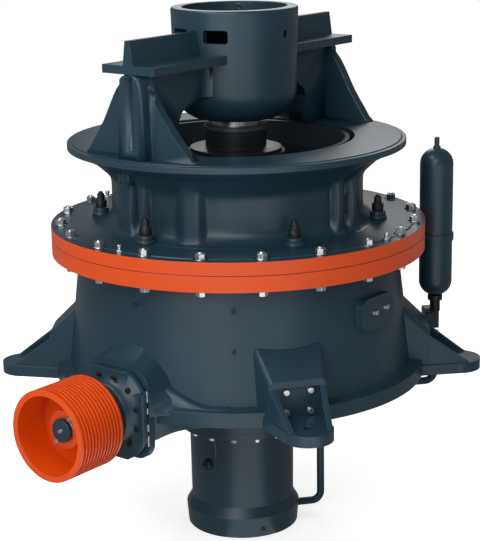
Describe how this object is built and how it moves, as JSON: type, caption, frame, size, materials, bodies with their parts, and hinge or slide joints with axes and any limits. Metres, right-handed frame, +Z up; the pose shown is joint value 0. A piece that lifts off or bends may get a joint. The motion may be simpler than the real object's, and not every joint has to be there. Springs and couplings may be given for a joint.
{
  "type": "cone crusher",
  "caption": "Stationary cone crusher with a leaning head in a round bolted shell, a spider over the feed, a belt sheave on the side and a lifting cylinder below.",
  "frame": {"origin": "on the crusher's vertical axis, level with the underside of the four feet", "axes": "+Z up, the drive shaft points along -Y, the spider's arms lie along -Y and +Y"},
  "size_m": [2.4898, 2.8839, 3.284],
  "materials": {
    "shell_paint": "satin paint",
    "flange_paint": "gloss paint",
    "bright_steel": "machined",
    "dark_steel": "dull",
    "manganese": "cast",
    "bronze": "machined"
  },
  "bodies": {
    "frame": {"bottom_shell": "shell_paint", "lower_flange": "shell_paint", "frame_hub": "shell_paint", "gear_housing": "shell_paint", "frame_arms": "shell_paint", "pinion_housing": "shell_paint", "bearing_cartridge": "shell_paint", "drive_bearings": "bronze", "foot_drive_right": "shell_paint", "foot_rear_right": "shell_paint", "foot_rear_left": "shell_paint", "foot_drive_left": "shell_paint", "upper_flange": "shell_paint", "top_shell": "shell_paint", "concave_liner": "manganese", "spider_hub": "shell_paint", "spider_arm_drive": "shell_paint", "arm_guard_drive": "shell_paint", "spider_arm_rear": "shell_paint", "arm_guard_rear": "shell_paint", "spider_bushing": "bronze", "spider_cap": "shell_paint", "thrust_ring": "bronze", "hydraulic_cylinder": "shell_paint", "cylinder_cover": "shell_paint", "accumulator": "shell_paint", "accumulator_neck": "bright_steel", "manifold_block": "shell_paint", "accumulator_clamp": "shell_paint", "oil_pipe": "shell_paint", "guide_pins": "shell_paint"},
    "drive": {"drive_shaft": "bright_steel", "pinion": "bright_steel", "shaft_end_cap": "shell_paint", "sheave": "flange_paint"},
    "eccentric": {"eccentric_sleeve": "dark_steel", "bevel_gear": "bright_steel"},
    "step_bearing": {"step_washer": "bronze"},
    "head": {"main_shaft": "bright_steel", "head_core": "dark_steel", "mantle": "manganese", "head_nut": "dark_steel", "shaft_sleeve": "bright_steel"},
    "piston": {"piston": "bright_steel"}
  },
  "joints": [
    {"name": "eccentric_spin", "type": "hinge", "parent": "frame", "child": "eccentric", "pos_m": [0, 0, 0], "axis": [0, 0, 1], "continuous": true},
    {"name": "sheave_spin", "type": "hinge", "parent": "frame", "child": "drive", "pos_m": [0, -1.5, 0.061], "axis": [0, -1, 0], "continuous": true},
    {"name": "head_lift", "type": "slide", "parent": "eccentric", "child": "step_bearing", "axis": [0.0137, 0, 0.9999], "range_m": [-0.1, 0.02]},
    {"name": "head_spin", "type": "hinge", "parent": "step_bearing", "child": "head", "pos_m": [0, 0, 1.78], "axis": [0.0137, 0, 0.9999], "continuous": true},
    {"name": "piston_slide", "type": "slide", "parent": "frame", "child": "piston", "axis": [0, 0, 1], "range_m": [-0.1, 0.02]}
  ],
  "couplings": [
    {"joint": "sheave_spin", "follows": "eccentric_spin", "ratio": 4.375},
    {"joint": "piston_slide", "follows": "head_lift", "ratio": 1}
  ]
}
